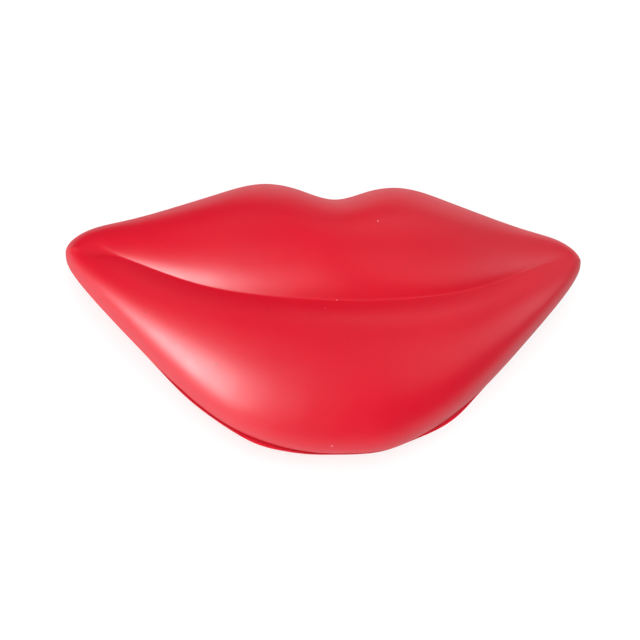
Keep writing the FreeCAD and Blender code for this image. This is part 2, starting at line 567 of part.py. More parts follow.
# ---- line jack --------------------------------------------------------------------------------------------
j = box(JACK_X - jw, JACK_X + jw, JACK_Y0, JACK_Y1, Z_FLOOR, JACK_Z1)
j = j.cut(box(JACK_X - 5.0, JACK_X + 5.0, JACK_Y0 + 1.5, JACK_Y1 + 1, 7.2, 14.2))
j = j.cut(box(JACK_X - 3.1, JACK_X + 3.1, JACK_Y0 + 5.0, JACK_Y1 + 1, 5.4, 7.4))
j = j.cut(box(JACK_X + 3.3, JACK_X + jw + 1, 48.8, JACK_Y1 + 1, Z_FLOOR - 1, 5.2))
j = j.cut(box(JACK_X + 5.55, JACK_X + jw + 1, 48.8, JACK_Y1 + 1, Z_FLOOR - 1, 6.6))
wires_x = [JACK_X - 3.06 + 2.04 * k for k in range(4)]
for x in wires_x:
    j = j.cut(box(x - 0.45, x + 0.45, JACK_Y0 + 3.0, JACK_Y0 + 4.0, 13, 17))
keep("line_jack", j)
cs = []
for x in wires_x:
    w = Part.makePolygon([V(x - 0.25, JACK_Y0 + 3.25, 15.8), V(x - 0.25, JACK_Y0 + 3.25, 13.6), V(x - 0.25, JACK_Y1 - 2.0, 13.6), V(x - 0.25, JACK_Y0 + 3.4, 12.4),
                          V(x - 0.25, JACK_Y0 + 3.6, 11.9), V(x - 0.25, JACK_Y1 - 1.2, 13.5), V(x - 0.25, JACK_Y1 - 1.2, 14.1),
                          V(x - 0.25, JACK_Y0 + 3.75, 14.1), V(x - 0.25, JACK_Y0 + 3.75, 15.8), V(x - 0.25, JACK_Y0 + 3.25, 15.8)])
    cs.append(Part.Face(w).extrude(V(0.5, 0, 0)))
keep("jack_contacts", Part.makeCompound(cs))

# ---- leads inside the case -----------------------------------------------------------------------------------
keep("receiver_leads", Part.makeCompound([lead([(-51.0, y, 13.5), (-51.0, y, 19.0), (-37.5, y + 4, 19.0), (-37.5, y + 4, zb)], 0.5, 2.0) for y in (10.6, 13.4)]))
keep("mic_leads", Part.makeCompound([
    lead([(75.0, 14.0, 11.9), (75.0, 14.0, 16.0), (66.0, 27.6, 16.0), (45.0, 26.6, 16.0), (45.0, 26.6, zb)], 0.45, 1.8),
    lead([(77.2, 14.0, 11.9), (77.2, 14.0, 18.2), (67.0, 29.8, 18.2), (42.4, 26.6, 18.2), (42.4, 26.6, zb)], 0.45, 1.8)]))
keep("hook_leads", Part.makeCompound([lead([(52.5, y, 22.5), (45.0, y, 22.5), (45.0, y, zb)], 0.5, 2.5) for y in (8.0, 12.0)]))
keep("jack_leads", Part.makeCompound([lead([(x, JACK_Y0 + 3.5, 15.8), (x, JACK_Y0 + 3.5, 20.0), (x, 34.6, 20.0), (x, 34.6, zb)], 0.45, 2.2) for x in wires_x]))

# ---- ballast, screws, feet -------------------------------------------------------------------------------------
bp = rbox(*BALLAST, 3.0)
for x, y in BALLAST_SCREWS:
    bp = bp.cut(cyl(1.7, 20, 40, x, y))
keep("ballast_plate", bp)
keep("ballast_screws", Part.makeCompound([screw(x, y, BALLAST[4], 12.0) for x, y in BALLAST_SCREWS]))
keep("case_screws", Part.makeCompound([screw(x, y, 5.0, 21.0) for x, y in CASE_SCREWS]))
feet = []
for x, y in FEET:
    feet.append(turned([(0, 0), (FOOT_R - 0.9, 0), (FOOT_R - 0.25, 0.25), (FOOT_R, 0.9), (FOOT_R, Z_BOTTOM + FOOT_RECESS), (0, Z_BOTTOM + FOOT_RECESS)], x, y))
keep("rubber_feet", Part.makeCompound(feet))

lo, hi = [9e9] * 3, [-9e9] * 3
for name, s in made.items():
    if len(s.Solids) < 1 or not s.isValid():
        print("CHECK", name, s.ShapeType, len(s.Solids), s.isValid())
    s.exportStep("parts/%s.step" % name)
    b = s.optimalBoundingBox(True, False) if name in ("upper_shell",) else s.BoundBox
    for i, (a, c) in enumerate(((b.XMin, b.XMax), (b.YMin, b.YMax), (b.ZMin, b.ZMax))):
        lo[i], hi[i] = min(lo[i], a), max(hi[i], c)
print(len(made), "nodes; box", [round(v, 2) for v in lo], [round(v, 2) for v in hi])
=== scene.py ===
import json
import math

import bmesh
import bpy
import numpy as np
from mathutils import Matrix, Vector
from mathutils.bvhtree import BVHTree


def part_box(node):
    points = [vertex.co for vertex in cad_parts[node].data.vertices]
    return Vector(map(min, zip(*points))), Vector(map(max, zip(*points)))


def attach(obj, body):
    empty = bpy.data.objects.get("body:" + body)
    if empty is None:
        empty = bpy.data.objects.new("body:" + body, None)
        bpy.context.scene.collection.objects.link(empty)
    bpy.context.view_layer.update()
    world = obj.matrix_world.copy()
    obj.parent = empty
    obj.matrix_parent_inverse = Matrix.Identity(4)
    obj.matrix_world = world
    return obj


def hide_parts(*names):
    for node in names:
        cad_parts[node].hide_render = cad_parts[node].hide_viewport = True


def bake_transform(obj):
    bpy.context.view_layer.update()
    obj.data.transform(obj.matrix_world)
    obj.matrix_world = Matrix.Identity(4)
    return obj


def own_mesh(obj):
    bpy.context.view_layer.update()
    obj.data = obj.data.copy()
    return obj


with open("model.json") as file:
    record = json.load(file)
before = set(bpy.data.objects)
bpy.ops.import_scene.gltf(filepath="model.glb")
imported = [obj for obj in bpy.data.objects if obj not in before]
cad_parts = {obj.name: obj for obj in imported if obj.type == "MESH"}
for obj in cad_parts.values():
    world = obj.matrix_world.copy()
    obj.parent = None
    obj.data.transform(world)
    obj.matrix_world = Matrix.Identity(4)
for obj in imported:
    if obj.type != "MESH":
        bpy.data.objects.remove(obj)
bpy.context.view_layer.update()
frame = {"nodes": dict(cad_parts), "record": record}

NODES = frame["nodes"]
scene = bpy.context.scene
MM = 0.001

# ---------------------------------------------------------------------------
# camera: looking down at the lips from the front, a little from the left
# ---------------------------------------------------------------------------
Y_CORNER = 25.460
TILT, PAN, ROLL = math.radians(20.0), 0.12787, -0.02868
CAM_DIST, CAM_FOCAL = 416.34, 1056.26          # mm, and pixels in a frame 640 wide
target = Vector((-6.349, -31.270 + Y_CORNER, 31.0))
back = Vector((-math.tan(PAN), -math.tan(TILT), 1.0)).normalized()
right = Vector((0, 1, 0)).cross(back).normalized()
up = back.cross(right)
r2 = right * math.cos(ROLL) + up * math.sin(ROLL)
u2 = up * math.cos(ROLL) - right * math.sin(ROLL)
eye = (target + back * CAM_DIST) * MM
cam_data = bpy.data.cameras.new("camera")
cam_data.sensor_width = 36.0
cam_data.lens = CAM_FOCAL / 640.0 * 36.0
cam_data.clip_start = 0.01
cam = bpy.data.objects.new("camera", cam_data)
scene.collection.objects.link(cam)
cam.matrix_world = Matrix(((r2.x, u2.x, back.x, eye.x), (r2.y, u2.y, back.y, eye.y),
                           (r2.z, u2.z, back.z, eye.z), (0, 0, 0, 1)))
scene.camera = cam

# ---------------------------------------------------------------------------
# lips surface, millimetres
# ---------------------------------------------------------------------------
HALF_W, CREASE_HALF_W, Z_PART, WALL = 107.5, 97.5, 16.0, 2.4
KNOT_F = [0, .12, .25, .4, .55, .7, .85, 1.0]
FRONT = [81.566, 79.133, 70.763, 53.22, 34.192, 18.775, 7.713, 0.0]
KNOT_B = [0, .09, .18, .28, .4, .55, .7, .85, 1.0]
BACK = [23.732, 28.403, 30.461, 25.831, 19.242, 13.267, 9.897, 5.339, 0.0]
KNOT_C = [0, .309, .588, .809, .951, 1.0]   # shares of the crease's half width
CREASE_Y = [-26.043, -24.38, -18.591, -9.394, -3.757, -2.54]
TAPER = 2.33
VALLEY_R, VALLEY_END, VALLEY_S = 0.25, 1.5, (0.64, 0.94)   # radius of the valley's bottom, and how it grows
RIB = np.array([(0, 0), (0, 6.0), (.06, 10.2), (.30, 12.2), (.72, 13.2)])
LOWER_MID = np.array([(0, 0), (0, 27.56), (0, 22.08), (.789, 22.48), (.736, 21.54)])
LOWER_LIP = np.array([(0, 0), (0, 4.24), (.008, 19.51), (.782, 33.72), (.82, 26.84)])
UPPER_MID = np.array([(0, 0), (0, 14.75), (.035, 14.4), (.18, 17.25), (.72, 19.6)])
UPPER_LIP = np.array([(0, 0), (0, 6.5), (.07, 31.0), (.22, 36.5), (.72, 38.8)])
CREASE_Z = (13.2, 19.2, 24.0)


def spline(k, v):
    n = len(k)
    h = [k[i + 1] - k[i] for i in range(n - 1)]
    m = np.zeros((n, n))
    d = np.zeros(n)
    m[0, 0], m[0, 1], d[0] = 2 * h[0], h[0], 6 * (v[1] - v[0]) / h[0]
    for i in range(1, n - 1):
        m[i, i - 1], m[i, i], m[i, i + 1] = h[i - 1], 2 * (h[i - 1] + h[i]), h[i]
        d[i] = 6 * ((v[i + 1] - v[i]) / h[i] - (v[i] - v[i - 1]) / h[i - 1])
    m[n - 1, n - 1] = 1.0
    c = np.linalg.solve(m, d)

    def f(x):
        i = 0
        while i < n - 2 and x > k[i + 1]:
            i += 1
        t, u, q = x - k[i], k[i + 1] - x, h[i]
        return ((c[i] * u ** 3 + c[i + 1] * t ** 3) / (6 * q)
                + (v[i] / q - c[i] * q / 6) * u + (v[i + 1] / q - c[i + 1] * q / 6) * t)
    return f


front_of, back_of, crease_of = spline(KNOT_F, FRONT), spline(KNOT_B, BACK), spline(KNOT_C, CREASE_Y)
YC = (FRONT[0] - max(back_of(i / 1000) for i in range(400))) / 2


def section(s, side):
    """Control points of one cross-section, from the parting plane up to the crease."""
    sn, a = math.sin(math.pi * s / 2), abs(s)
    fuller = math.exp(-((s - 0.12) / 0.07) ** 2)      # just to the right of the lower lip's middle
    o = np.array((HALF_W * sn, YC - front_of(a) - fuller if side < 0 else YC + back_of(a)))
    f = sn + 0.5 * (s - sn) * s ** 6
    c = np.array((CREASE_HALF_W * f, YC + crease_of(abs(f))))
    w = 1 - abs(sn) ** TAPER
    b = ((1 - w) ** 2, 2 * w * (1 - w), w * w)
    q = RIB * b[0] + (LOWER_MID if side < 0 else UPPER_MID) * b[1] + (LOWER_LIP if side < 0 else UPPER_LIP) * b[2]
    out = np.zeros((6, 3))
    out[:5, :2] = o + (c - o) * q[:, :1]
    out[:5, 2] = Z_PART + q[:, 1]
    out[5] = (*c, Z_PART + sum(z * k for z, k in zip(CREASE_Z, b)))
    return out


def bez(p, t):
    t = np.asarray(t, float)[:, None]
    u = 1 - t
    return sum(math.comb(5, i) * u ** (5 - i) * t ** i * p[i] for i in range(6))


def smooth01(x, a, b):
    x = min(1.0, max(0.0, (x - a) / (b - a)))
    return x * x * (3 - 2 * x)


def new_object(name, verts, faces, smooth=True):
    me = bpy.data.meshes.new(name)
    me.from_pydata([tuple(v) for v in verts], [], [tuple(f) for f in faces])
    me.validate()
    me.update()
    if smooth:
        me.polygons.foreach_set("use_smooth", [True] * len(me.polygons))
    ob = bpy.data.objects.new(name, me)
    scene.collection.objects.link(ob)
    return ob


def weld(points, polys):
    """Join equal points, so that front, back and walls of an extruded outline close into one solid."""
    index, keep, at = {}, [], []
    for p in points:
        k = tuple(np.round(p * 1e7).astype(int))
        if k not in index:
            index[k] = len(keep)
            keep.append(p)
        at.append(index[k])
    faces = []
    for f in polys:
        g = []
        for k in (at[i] for i in f):
            if not g or g[-1] != k:
                g.append(k)
        if len(g) > 1 and g[0] == g[-1]:
            g.pop()
        if len(g) >= 3:
            faces.append(tuple(g))
    return keep, faces


def outward(ob):
    """Turn every face of a closed solid to the outside."""
    bm = bmesh.new()
    bm.from_mesh(ob.data)
    bmesh.ops.recalc_face_normals(bm, faces=bm.faces)
    bm.to_mesh(ob.data)
    bm.free()


NS, NV, R_EDGE = 241, 66, 0.7


def lip_grids():
    g = {}
    for side in (-1, 1):
        rows = []
        for i in range(NS):
            s = -1 + 2 * i / (NS - 1)
            p = section(s, side)
            lo, hi = 0.0, 0.5
            for _ in range(40):
                t = (lo + hi) / 2
                if bez(p, [t])[0][2] < Z_PART + R_EDGE:
                    lo = t
                else:
                    hi = t
            u = np.linspace(0, 1, NV)
            rows.append(bez(p, lo + (1 - lo) * (1 - (1 - u) ** 1.5)))
        g[side] = np.array(rows)
    # the valley between the lips: a small moulded radius that opens out towards the corners
    every = np.concatenate([g[-1].reshape(-1, 3), g[1].reshape(-1, 3)])
    share = np.zeros(len(every))
    for k, side in ((0, -1), (NS * NV, 1)):
        q = g[side][:, :, :2]
        d1, d2 = q[1:, 1:] - q[:-1, :-1], q[1:, :-1] - q[:-1, 1:]
        area = np.abs(d1[..., 0] * d2[..., 1] - d1[..., 1] * d2[..., 0]) / 8
        acc = np.zeros((NS, NV))
        acc[1:, 1:] += area
        acc[:-1, :-1] += area
        acc[1:, :-1] += area
        acc[:-1, 1:] += area
        share[k:k + NS * NV] = acc.ravel()
    line = g[-1][:, -1, :2]
    sig_line = np.array([VALLEY_R + VALLEY_END * smooth01(abs(-1 + 2 * i / (NS - 1)), *VALLEY_S) for i in range(NS)])
    near_d, near_i = np.zeros(len(every)), np.zeros(len(every), int)
    for k in range(0, len(every), 4000):
        d = np.linalg.norm(every[k:k + 4000, None, :2] - line[None], axis=2)
        near_i[k:k + 4000] = d.argmin(1)
        near_d[k:k + 4000] = d.min(1)
    sig = sig_line[near_i]
    reach = np.minimum(2.8 * sig, 9.0)
    todo = np.nonzero(near_d < reach)[0]
    src = np.nonzero(near_d < reach + 3 * sig)[0]
    z = every[:, 2].copy()
    for k in range(0, len(todo), 400):
        t = todo[k:k + 400]
        sg = sig[t] * (1 - (near_d[t] / reach[t]) ** 2) + 1e-3
        dx = every[t, None, 0] - every[None, src, 0]
        dy = every[t, None, 1] - every[None, src, 1]
        w = np.exp(-0.5 * (dx * dx + dy * dy) / (sg * sg)[:, None]) * (share[src] + 1e-9)[None]
        z[t] = (w * every[None, src, 2]).sum(1) / w.sum(1)
    every[:, 2] = z
    g[-1] = every[:NS * NV].reshape(NS, NV, 3)
    g[1] = every[NS * NV:].reshape(NS, NV, 3)
    return g


def lips_shell():
    g = lip_grids()
    verts = [tuple(p) for row in g[-1] for p in row]
    idx_f = np.arange(NS * NV).reshape(NS, NV)
    idx_b = idx_f.copy()
    for i in range(1, NS - 1):
        for j in range(NV - 1):
            idx_b[i, j] = len(verts)
            verts.append(tuple(g[1][i][j]))
    faces = []
    for i in range(NS - 1):
        for j in range(NV - 1):
            faces.append((idx_f[i, j], idx_f[i + 1, j], idx_f[i + 1, j + 1], idx_f[i, j + 1]))
            faces.append((idx_b[i, j + 1], idx_b[i + 1, j + 1], idx_b[i + 1, j], idx_b[i, j]))
    faces = [tuple(int(k) for k in f) for f in faces]
    v = np.array(verts)
    n_out = len(v)
    fa = np.array(faces)
    # ease the two points where the crease runs out into the corners
    ea, eb = np.concatenate([fa[:, k] for k in range(4)]), np.concatenate([fa[:, (k + 1) % 4] for k in range(4)])
    count = np.bincount(ea, minlength=n_out) + np.bincount(eb, minlength=n_out)
    ends = v[[int(idx_f[0, -1]), int(idx_f[-1, -1])]]
    ease = np.clip(1 - np.linalg.norm(v[:, None] - ends[None], axis=2).min(1) / 6.0, 0, 1)
    ease = (ease * ease * (3 - 2 * ease))[:, None]
    for _ in range(60):
        mean = np.zeros_like(v)
        np.add.at(mean, ea, v[eb])
        np.add.at(mean, eb, v[ea])
        v += 0.6 * ease * (mean / count[:, None] - v)
    nrm = np.cross(v[fa[:, 2]] - v[fa[:, 0]], v[fa[:, 3]] - v[fa[:, 1]])
    vn = np.zeros_like(v)
    for k in range(4):
        np.add.at(vn, fa[:, k], nrm)
    vn /= np.linalg.norm(vn, axis=1, keepdims=True) + 1e-12
    loop = list(idx_f[:, 0]) + list(idx_b[::-1, 0][1:-1])
    base = v[loop]
    tan = np.roll(base, -1, 0) - np.roll(base, 1, 0)
    inward = np.stack([-tan[:, 1], tan[:, 0], np.zeros(len(tan))], 1)
    inward /= np.linalg.norm(inward, axis=1, keepdims=True)
    vn[loop] = -inward
    inner = v - vn * WALL
    inner[loop, 2] = base[:, 2]
    allv = [v, inner]
    count = 2 * n_out
    rings = [[int(k) for k in loop]]
    prof = [(R_EDGE * (1 - math.cos(a)), R_EDGE * (1 - math.sin(a))) for a in (math.radians(22.5 * k) for k in (1, 2, 3, 4))]
    prof += [(1.5, 0.0), (WALL, 0.0)]
    for inset, dz in prof:
        p = base + inward * inset
        p[:, 2] = Z_PART + dz
        allv.append(p)
        rings.append(list(range(count, count + len(loop))))
        count += len(loop)
    rings.append([int(k) + n_out for k in loop])
    m = len(loop)
    for a, b in zip(rings[:-1], rings[1:]):
        for k in range(m):
            q = (k + 1) % m
            faces.append((a[k], b[k], b[q], a[q]))
    faces += [tuple(k + n_out for k in f[::-1]) for f in fa.tolist()]
    v = np.concatenate(allv)
    # screw posts inside, standing from the shell down to the parting plane or the ballast
    tree = BVHTree.FromPolygons([Vector(p) for p in inner], [tuple(f) for f in fa.tolist()])
    extra, n0 = [], len(v)
    K = 28

    def post(x, y, z0, r, hole, depth):
        start = n0 + len(extra)
        ring_z = []
        for rr, z in ((hole, None), (hole, z0), (r, z0), (r, "top")):
            for k in range(K):
                a = 2 * math.pi * k / K
                px, py = x + rr * math.cos(a), y + rr * math.sin(a)
                if z == "top":
                    hit = tree.ray_cast(Vector((px, py, z0 + 1.0)), Vector((0, 0, 1)))[0]
                    zz = (hit.z + 0.9) if hit else z0 + 6
                else:
                    zz = depth if z is None else z
                extra.append((px, py, zz))
        c_hole = n0 + len(extra)
        extra.append((x, y, depth))
        hit = tree.ray_cast(Vector((x, y, z0 + 1.0)), Vector((0, 0, 1)))[0]
        c_top = n0 + len(extra)
        extra.append((x, y, (hit.z + 0.9) if hit else z0 + 6))
        for row in range(3):
            for k in range(K):
                q = (k + 1) % K
                a, b = start + row * K, start + (row + 1) * K
                faces.append((a + k, a + q, b + q, b + k))
        for k in range(K):
            q = (k + 1) % K
            faces.append((c_hole, start + q, start + k))
            faces.append((c_top, start + 3 * K + k, start + 3 * K + q))

    for x, y in ((0, -37.5), (52, 35), (-52, 35), (88, 22), (-88, 22)):
        post(x, y, 16.1, 3.5, 1.5, 28.0)
    for x, y in ((28, 10), (-28, 10)):
        post(x, y, 34.0, 3.8, 1.5, 42.5)
    v = np.concatenate([v, np.array(extra)]) * MM
    return new_object("lips_shell", v, faces)


shell = lips_shell()
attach(shell, "case")
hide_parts("upper_shell")

# ---------------------------------------------------------------------------
# materials
# ---------------------------------------------------------------------------


def start(name):
    m = bpy.data.materials.new(name)
    m.use_nodes = True
    nt = m.node_tree
    nt.nodes.clear()
    out = nt.nodes.new("ShaderNodeOutputMaterial")
    bsdf = nt.nodes.new("ShaderNodeBsdfPrincipled")
    nt.links.new(bsdf.outputs["BSDF"], out.inputs["Surface"])
    tc = nt.nodes.new("ShaderNodeTexCoord")
    return m, nt, bsdf, tc.outputs["Object"]


def noise(nt, co, scale, detail=3.0, rough=0.55, stretch=None):
    if stretch:
        mp = nt.nodes.new("ShaderNodeMapping")
        mp.inputs["Scale"].default_value = stretch
        nt.links.new(co, mp.inputs["Vector"])
        co = mp.outputs["Vector"]
    n = nt.nodes.new("ShaderNodeTexNoise")
    n.inputs["Scale"].default_value = scale
    n.inputs["Detail"].default_value = detail
    n.inputs["Roughness"].default_value = rough
    nt.links.new(co, n.inputs["Vector"])
    return n.outputs["Fac"]


def ramp(nt, fac, stops):
    r = nt.nodes.new("ShaderNodeValToRGB")
    els = r.color_ramp.elements
    while len(els) < len(stops):
        els.new(0.5)
    for e, (pos, col) in zip(els, stops):
        e.position = pos
        e.color = (*col, 1.0)
    nt.links.new(fac, r.inputs["Fac"])
    return r.outputs["Color"]


def remap(nt, fac, lo, hi, a=0.3, b=0.7):
    r = nt.nodes.new("ShaderNodeMapRange")
    r.inputs["From Min"].default_value, r.inputs["From Max"].default_value = a, b
    r.inputs["To Min"].default_value, r.inputs["To Max"].default_value = lo, hi
    nt.links.new(fac, r.inputs["Value"])
    return r.outputs["Result"]


def bump(nt, bsdf, height, strength, dist, under=None):
    b = nt.nodes.new("ShaderNodeBump")
    b.inputs["Strength"].default_value = strength
    b.inputs["Distance"].default_value = dist
    nt.links.new(height, b.inputs["Height"])
    if under is not None:
        nt.links.new(under, b.inputs["Normal"])
    nt.links.new(b.outputs["Normal"], bsdf.inputs["Normal"])
    return b.outputs["Normal"]


def tone(c, k):
    return tuple(max(0.0, min(1.0, v * k)) for v in c)


def plain(name, col, rough, metal=0.0, spread=0.10, scale=60.0, r_spread=0.06, grain=2200.0, g_str=0.15,
          g_dist=0.00005, stretch=None, spec=0.5, coat=0.0):
    """Moulded, rolled or drawn finish: slow tone change, uneven gloss and a fine grain."""
    m, nt, bsdf, co = start(name)
    slow = noise(nt, co, scale, 4.0, 0.6, stretch)
    nt.links.new(ramp(nt, slow, [(0.3, tone(col, 1 - spread)), (0.7, tone(col, 1 + spread))]), bsdf.inputs["Base Color"])
    gloss = noise(nt, co, scale * 4.5, 3.0, 0.6, stretch)
    nt.links.new(remap(nt, gloss, max(0.02, rough - r_spread), min(1.0, rough + r_spread)), bsdf.inputs["Roughness"])
    bsdf.inputs["Metallic"].default_value = metal
    bsdf.inputs["Specular IOR Level"].default_value = spec
    if coat:
        bsdf.inputs["Coat Weight"].default_value = coat
        bsdf.inputs["Coat Roughness"].default_value = 0.15
    bump(nt, bsdf, noise(nt, co, grain, 2.0, 0.5, stretch), g_str, g_dist)
    return m


def near(nt, co, p, size):
    """1 inside a small spot round p (metres), 0 outside, soft at its edge."""
    d = nt.nodes.new("ShaderNodeVectorMath")
    d.operation = "DISTANCE"
    d.inputs[1].default_value = p
    nt.links.new(co, d.inputs[0])
    return remap(nt, d.outputs["Value"], 1.0, 0.0, size * 0.55, size)


def most(nt, values):
    out = values[0]
    for v in values[1:]:
        mx = nt.nodes.new("ShaderNodeMath")
        mx.operation = "MAXIMUM"
        nt.links.new(out, mx.inputs[0])
        nt.links.new(v, mx.inputs[1])
        out = mx.outputs["Value"]
    return out


def blend_to(nt, fac, a, b):
    """Colour a where fac is 0, colour b (a plain tuple) where it is 1."""
    mix = nt.nodes.new("ShaderNodeMix")
    mix.data_type = "RGBA"
    nt.links.new(fac, mix.inputs["Factor"])
    nt.links.new(a, mix.inputs["A"])
    mix.inputs["B"].default_value = (*b, 1.0)
    return mix.outputs["Result"]


RED = (0.70, 0.0015, 0.020)


def red_plastic(name, light_marks=(), dark_marks=()):
    """Satin moulded red: a slow drift in tone, uneven gloss, a shallow ripple and a few specks of wear."""
    m, nt, bsdf, co = start(name)
    slow = noise(nt, co, 22.0, 3.0, 0.5)
    col = ramp(nt, slow, [(0.30, tone(RED, 0.965)), (0.72, tone(RED, 1.03))])
    if light_marks:
        col = blend_to(nt, most(nt, [near(nt, co, p, s) for p, s in light_marks]), col, (0.80, 0.22, 0.24))
    if dark_marks:
        col = blend_to(nt, most(nt, [near(nt, co, p, s) for p, s in dark_marks]), col, (0.30, 0.004, 0.012))
    nt.links.new(col, bsdf.inputs["Base Color"])
    gloss = noise(nt, co, 130.0, 4.0, 0.6)
    nt.links.new(remap(nt, gloss, 0.375, 0.425), bsdf.inputs["Roughness"])
    # the satin skin scatters what strikes it at a glancing angle, so its gloss fades towards the edges
    edge = nt.nodes.new("ShaderNodeLayerWeight")
    edge.inputs["Blend"].default_value = 0.5
    bsdf.inputs["Specular IOR Level"].default_value = 0.5
    nt.links.new(remap(nt, edge.outputs["Facing"], 0.5, 0.06, 0.50, 0.85), bsdf.inputs["Specular IOR Level"])
    ripple = noise(nt, co, 95.0, 2.0, 0.5)
    first = bump(nt, bsdf, ripple, 0.10, 0.0004)
    bump(nt, bsdf, noise(nt, co, 3800.0, 2.0, 0.5), 0.05, 0.00003, first)
    return m


def on_lips(px, py):
    """Point of the lips, in metres, on the camera's line through a pixel of a 640 by 640 frame."""
    d = (r2 * ((px - 320) / CAM_FOCAL) + u2 * ((320 - py) / CAM_FOCAL) - back).normalized()
    hit = LIPS_TREE.ray_cast(eye, d)[0]
    return tuple(hit) if hit else (0, 0, 1)


LIPS_TREE = BVHTree.FromPolygons([v.co for v in shell.data.vertices], [tuple(p.vertices) for p in shell.data.polygons])
LIGHT_MARKS = [(on_lips(378, 221), 0.0005), (on_lips(325, 308), 0.0003), (on_lips(337, 300), 0.00035), (on_lips(332, 446), 0.0005)]
DARK_MARKS = [(on_lips(176, 344), 0.00045), (on_lips(216, 364), 0.00045), (on_lips(222, 382), 0.0004), (on_lips(145, 312), 0.00035)]


def board_green(name):
    """Lacquered board: faint copper tracks under the green, fine weave in the gloss."""
    m, nt, bsdf, co = start(name)
    wave = nt.nodes.new("ShaderNodeTexBrick")
    wave.inputs["Scale"].default_value = 180.0
    wave.inputs["Mortar Size"].default_value = 0.03
    wave.inputs["Color1"].default_value = (0.030, 0.150, 0.055, 1)
    wave.inputs["Color2"].default_value = (0.026, 0.135, 0.050, 1)
    wave.inputs["Mortar"].default_value = (0.060, 0.230, 0.080, 1)
    nt.links.new(co, wave.inputs["Vector"])
    nt.links.new(wave.outputs["Color"], bsdf.inputs["Base Color"])
    nt.links.new(remap(nt, noise(nt, co, 400.0), 0.30, 0.45), bsdf.inputs["Roughness"])
    bump(nt, bsdf, wave.outputs["Fac"], 0.2, 0.00004)
    return m


def speckled(name, a, b, scale, rough, grain, g_str, g_dist):
    """Foam, paper or rubber: small cells of two tones that also shape the surface."""
    m, nt, bsdf, co = start(name)
    v = nt.nodes.new("ShaderNodeTexVoronoi")
    v.inputs["Scale"].default_value = scale
    nt.links.new(co, v.inputs["Vector"])
    nt.links.new(ramp(nt, v.outputs["Distance"], [(0.1, a), (0.6, b)]), bsdf.inputs["Base Color"])
    nt.links.new(remap(nt, noise(nt, co, grain), rough - 0.06, rough + 0.06), bsdf.inputs["Roughness"])
    bump(nt, bsdf, v.outputs["Distance"], g_str, g_dist)
    return m


SHELL_RED = red_plastic("shell_red_satin", LIGHT_MARKS, DARK_MARKS)
MATS = {
    "shell_red": SHELL_RED,
    "key_white": plain("key_white", (0.80, 0.78, 0.72), 0.32, spread=0.03, scale=90, g_str=0.06),
    "bezel_black": plain("bezel_black", (0.014, 0.014, 0.016), 0.55, spread=0.25, grain=5200, g_str=0.35, g_dist=0.00006),
    "silicone_grey": speckled("silicone_grey", (0.16, 0.165, 0.175), (0.19, 0.195, 0.205), 900, 0.62, 500, 0.08, 0.00003),
    "board_green": board_green("board_green"),
    "chip_black": plain("chip_black", (0.018, 0.018, 0.019), 0.5, spread=0.2, grain=6000, g_str=0.3),
    "capacitor_blue": plain("capacitor_blue", (0.012, 0.02, 0.10), 0.28, spread=0.12, coat=0.3),
    "resistor_tan": plain("resistor_tan", (0.45, 0.27, 0.12), 0.35, spread=0.15, scale=300),
    "diode_black": plain("diode_black", (0.02, 0.02, 0.02), 0.4, spread=0.2),
    "plain_steel": plain("plain_steel", (0.56, 0.56, 0.57), 0.30, metal=1.0, spread=0.08, scale=120, stretch=(1, 6, 1), grain=1500),
    "inner_black": plain("inner_black", (0.02, 0.02, 0.021), 0.5, spread=0.2, grain=4500, g_str=0.3),
    "brass_disc": plain("brass_disc", (0.62, 0.42, 0.14), 0.28, metal=1.0, spread=0.10, scale=150, stretch=(1, 8, 1)),
    "knob_black": plain("knob_black", (0.014, 0.014, 0.015), 0.42, spread=0.2, grain=5000, g_str=0.25),
    "plunger_white": plain("plunger_white", (0.78, 0.76, 0.70), 0.30, spread=0.03, scale=120, g_str=0.05),
    "spring_steel": plain("spring_steel", (0.60, 0.60, 0.60), 0.24, metal=1.0, spread=0.08, scale=400),
    "foam_black": speckled("foam_black", (0.008, 0.008, 0.008), (0.03, 0.03, 0.03), 2400, 0.9, 900, 0.8, 0.0002),
    "cone_paper": speckled("cone_paper", (0.018, 0.016, 0.014), (0.035, 0.032, 0.028), 1500, 0.85, 800, 0.3, 0.0001),
    "magnet_grey": plain("magnet_grey", (0.05, 0.05, 0.052), 0.5, metal=0.6, spread=0.25, scale=250, grain=3000, g_str=0.4),
    "foot_rubber": speckled("foot_rubber", (0.012, 0.012, 0.012), (0.022, 0.022, 0.022), 1800, 0.72, 700, 0.25, 0.00006),
    "capsule_aluminium": plain("capsule_aluminium", (0.72, 0.72, 0.73), 0.26, metal=1.0, spread=0.06, scale=200, stretch=(1, 1, 6)),
    "jack_plastic": plain("jack_plastic", (0.02, 0.02, 0.021), 0.4, spread=0.2, grain=4200, g_str=0.2),
    "contact_gold": plain("contact_gold", (0.70, 0.47, 0.15), 0.22, metal=1.0, spread=0.08, scale=500),
    "lead_white": plain("lead_white", (0.75, 0.74, 0.70), 0.38, spread=0.05, scale=250),
    "lead_black": plain("lead_black", (0.02, 0.02, 0.02), 0.38, spread=0.2, scale=250),
    "lead_yellow": plain("lead_yellow", (0.62, 0.38, 0.02), 0.38, spread=0.08, scale=250),
    "lead_green": plain("lead_green", (0.02, 0.16, 0.035), 0.38, spread=0.12, scale=250),
    "ballast_steel": plain("ballast_steel", (0.30, 0.30, 0.31), 0.42, metal=1.0, spread=0.15, scale=90, stretch=(1, 10, 1), grain=900, g_str=0.3),
}
INK = plain("legend_ink", (0.012, 0.012, 0.014), 0.45, spread=0.2, scale=500)


def paint(ob, m):
    me = ob.data
    if len(me.materials):
        for k in range(len(me.materials)):
            me.materials[k] = m
    else:
        me.materials.append(m)


SLOT_OF = {p["node"]: p["material_slot"] for p in frame["record"]["subparts"]}
for node, ob in NODES.items():
    paint(ob, MATS[SLOT_OF[node]])
paint(shell, SHELL_RED)

